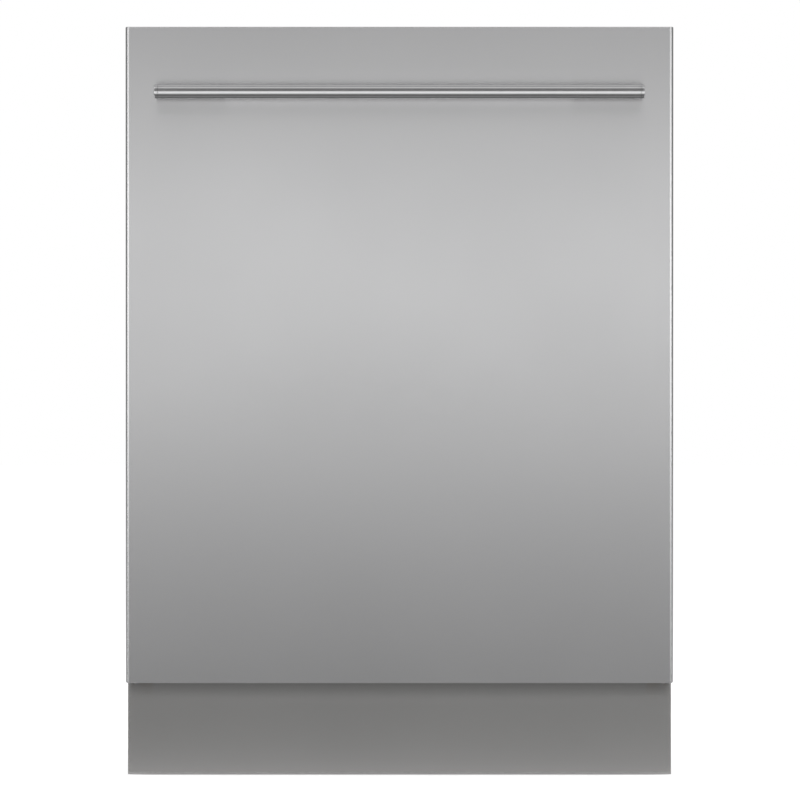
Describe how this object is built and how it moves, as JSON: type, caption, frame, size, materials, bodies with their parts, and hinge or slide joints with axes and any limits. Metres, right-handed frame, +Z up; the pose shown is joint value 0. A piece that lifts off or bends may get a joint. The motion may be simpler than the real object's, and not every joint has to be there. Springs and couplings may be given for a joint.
{
  "type": "integrated dishwasher",
  "caption": "Built-in dishwasher with a brushed steel front, bar handle, steel plinth, steel tub, sliding racks and spray arms.",
  "frame": {"origin": "middle of the footprint on the floor, under the centre of the whole size box", "axes": "+Z up, the door faces -Y, +X to the right seen from the front"},
  "size_m": [0.598, 0.62, 0.82],
  "materials": {
    "front_steel": "fine horizontal brushing, satin",
    "handle_steel": "satin with bright edges",
    "tub_steel": "smooth stainless sheet",
    "galvanised": "galvanised sheet, dull spangle",
    "bracket_steel": "zinc-plated steel",
    "felt": "pressed fibre felt",
    "board": "raw particle board",
    "base_plastic": "black moulded plastic",
    "pump_plastic": "dark moulded plastic",
    "valve_plastic": "white moulded plastic",
    "tub_plastic": "grey moulded plastic",
    "cap_plastic": "blue moulded plastic",
    "lid_plastic": "light grey moulded plastic",
    "filter_steel": "perforated stainless sheet",
    "seal_rubber": "dull soft rubber",
    "rack_wire": "grey nylon-coated wire",
    "strip_plastic": "black satin moulded plastic",
    "button_plastic": "silver-grey keys",
    "latch_plastic": "off-white acetal",
    "display_glass": "dark pane"
  },
  "bodies": {
    "cabinet": {"tub_wrap": "tub_steel", "tub_rear_wall": "tub_steel", "tub_floor": "tub_steel", "insulation_wrap": "felt", "base_tray": "base_plastic", "left_side_panel": "galvanised", "right_side_panel": "galvanised", "rear_cover": "galvanised", "top_panel": "galvanised", "door_seal": "seal_rubber", "sump": "base_plastic", "wash_pump": "pump_plastic", "drain_pump": "pump_plastic", "inlet_valve": "valve_plastic", "mains_gland": "base_plastic", "softener_tank": "valve_plastic", "feed_pipe": "tub_plastic", "filter_plate": "filter_steel", "rail_channels": "bracket_steel", "kick_plate": "front_steel", "hinge_plates": "bracket_steel", "balance_springs": "bracket_steel", "latch_strike": "bracket_steel"},
    "door": {"door_skin": "front_steel", "door_core": "board", "door_carrier": "galvanised", "door_liner": "tub_steel", "hinge_arms": "bracket_steel", "control_strip": "strip_plastic", "display_window": "display_glass", "handle_bar": "handle_steel", "handle_end_caps": "handle_steel", "handle_posts": "handle_steel", "door_screws": "bracket_steel", "dispenser_body": "tub_plastic"},
    "upper_rack": {"upper_rack": "rack_wire", "rail_runners": "bracket_steel", "rack_water_pipe": "tub_plastic", "upper_rack_handle": "tub_plastic"},
    "lower_rack": {"lower_rack": "rack_wire", "cutlery_basket": "tub_plastic"},
    "rail_sliders": {"rail_sliders": "bracket_steel"},
    "cup_shelf": {"cup_shelf": "tub_plastic"},
    "folding_tines": {"folding_tines": "rack_wire"},
    "front_wheels": {"front_wheels": "tub_plastic"},
    "rear_wheels": {"rear_wheels": "tub_plastic"},
    "lower_spray_arm": {"lower_spray_arm": "tub_plastic"},
    "upper_spray_arm": {"upper_spray_arm": "tub_plastic"},
    "filter_cylinder": {"filter_cylinder": "tub_plastic"},
    "salt_cap": {"salt_cap": "cap_plastic"},
    "power_button": {"power_button": "button_plastic"},
    "programme_button": {"programme_button": "button_plastic"},
    "start_button": {"start_button": "button_plastic"},
    "dispenser_lid": {"dispenser_lid": "lid_plastic"},
    "rinse_aid_cap": {"rinse_aid_cap": "cap_plastic"},
    "door_latch": {"door_latch": "latch_plastic"},
    "front_left_foot": {"front_left_foot": "base_plastic"},
    "rear_left_foot": {"rear_left_foot": "base_plastic"},
    "front_right_foot": {"front_right_foot": "base_plastic"},
    "rear_right_foot": {"rear_right_foot": "base_plastic"}
  },
  "joints": [
    {"name": "door_hinge", "type": "hinge", "parent": "cabinet", "child": "door", "pos_m": [0, -0.23, 0.112], "axis": [1, 0, 0], "range_deg": [0, 90], "stiffness_Nm_per_rad": 32, "deforming": ["balance_springs"]},
    {"name": "upper_rack_slide", "type": "slide", "parent": "cabinet", "child": "upper_rack", "axis": [0, -1, 0], "range_m": [0, 0.46]},
    {"name": "rail_slide", "type": "slide", "parent": "cabinet", "child": "rail_sliders", "axis": [0, -1, 0], "range_m": [0, 0.23]},
    {"name": "lower_rack_slide", "type": "slide", "parent": "cabinet", "child": "lower_rack", "axis": [0, -1, 0], "range_m": [0, 0.095]},
    {"name": "front_wheel_spin", "type": "hinge", "parent": "lower_rack", "child": "front_wheels", "pos_m": [0, -0.125, 0.1583], "axis": [1, 0, 0], "range_deg": [0, 305]},
    {"name": "rear_wheel_spin", "type": "hinge", "parent": "lower_rack", "child": "rear_wheels", "pos_m": [0, 0.21, 0.1583], "axis": [1, 0, 0], "range_deg": [0, 305]},
    {"name": "lower_arm_spin", "type": "hinge", "parent": "cabinet", "child": "lower_spray_arm", "pos_m": [0, 0.0425, 0.166], "axis": [0, 0, 1], "continuous": true},
    {"name": "upper_arm_spin", "type": "hinge", "parent": "upper_rack", "child": "upper_spray_arm", "pos_m": [0, 0.0425, 0.4937], "axis": [0, 0, 1], "continuous": true},
    {"name": "filter_twist", "type": "hinge", "parent": "cabinet", "child": "filter_cylinder", "pos_m": [0.042, 0.0025, 0.12], "axis": [0, 0, 1], "range_deg": [0, 90]},
    {"name": "salt_cap_turn", "type": "hinge", "parent": "cabinet", "child": "salt_cap", "pos_m": [0.2, 0.19, 0.145], "axis": [0, 0, 1], "range_deg": [0, 360]},
    {"name": "cup_shelf_fold", "type": "hinge", "parent": "upper_rack", "child": "cup_shelf", "pos_m": [0.2468, 0.033, 0.6], "axis": [0, 1, 0], "range_deg": [0, 90]},
    {"name": "tine_fold", "type": "hinge", "parent": "lower_rack", "child": "folding_tines", "pos_m": [-0.04, 0.04, 0.197], "axis": [1, 0, 0], "range_deg": [0, 80]},
    {"name": "lid_slide", "type": "slide", "parent": "door", "child": "dispenser_lid", "axis": [1, 0, 0], "range_m": [0, 0.07]},
    {"name": "rinse_cap_turn", "type": "hinge", "parent": "door", "child": "rinse_aid_cap", "pos_m": [0.076, -0.203, 0.45], "axis": [0, 1, 0], "range_deg": [0, 90]},
    {"name": "latch_release", "type": "hinge", "parent": "door", "child": "door_latch", "pos_m": [0, -0.23, 0.79], "axis": [-1, 0, 0], "range_deg": [0, 25], "stiffness_Nm_per_rad": 0.2, "springref_deg": -17.19},
    {"name": "power_button_press", "type": "slide", "parent": "door", "child": "power_button", "axis": [0, 0, -1], "range_m": [0, 0.0015], "stiffness_N_per_m": 400, "springref_m": -0.001},
    {"name": "programme_button_press", "type": "slide", "parent": "door", "child": "programme_button", "axis": [0, 0, -1], "range_m": [0, 0.0015], "stiffness_N_per_m": 400, "springref_m": -0.001},
    {"name": "start_button_press", "type": "slide", "parent": "door", "child": "start_button", "axis": [0, 0, -1], "range_m": [0, 0.0015], "stiffness_N_per_m": 400, "springref_m": -0.001},
    {"name": "front_left_foot_screw", "type": "slide", "parent": "cabinet", "child": "front_left_foot", "axis": [0, 0, -1], "range_m": [0, 0.04]},
    {"name": "rear_left_foot_screw", "type": "slide", "parent": "cabinet", "child": "rear_left_foot", "axis": [0, 0, -1], "range_m": [0, 0.04]},
    {"name": "front_right_foot_screw", "type": "slide", "parent": "cabinet", "child": "front_right_foot", "axis": [0, 0, -1], "range_m": [0, 0.04]},
    {"name": "rear_right_foot_screw", "type": "slide", "parent": "cabinet", "child": "rear_right_foot", "axis": [0, 0, -1], "range_m": [0, 0.04]}
  ],
  "couplings": [
    {"joint": "upper_rack_slide", "follows": "door_hinge", "m_per_rad": 0.29},
    {"joint": "rail_slide", "follows": "door_hinge", "m_per_rad": 0.145},
    {"joint": "lower_rack_slide", "follows": "door_hinge", "m_per_rad": 0.06},
    {"joint": "front_wheel_spin", "follows": "door_hinge", "ratio": 3.3333},
    {"joint": "rear_wheel_spin", "follows": "door_hinge", "ratio": 3.3333}
  ]
}
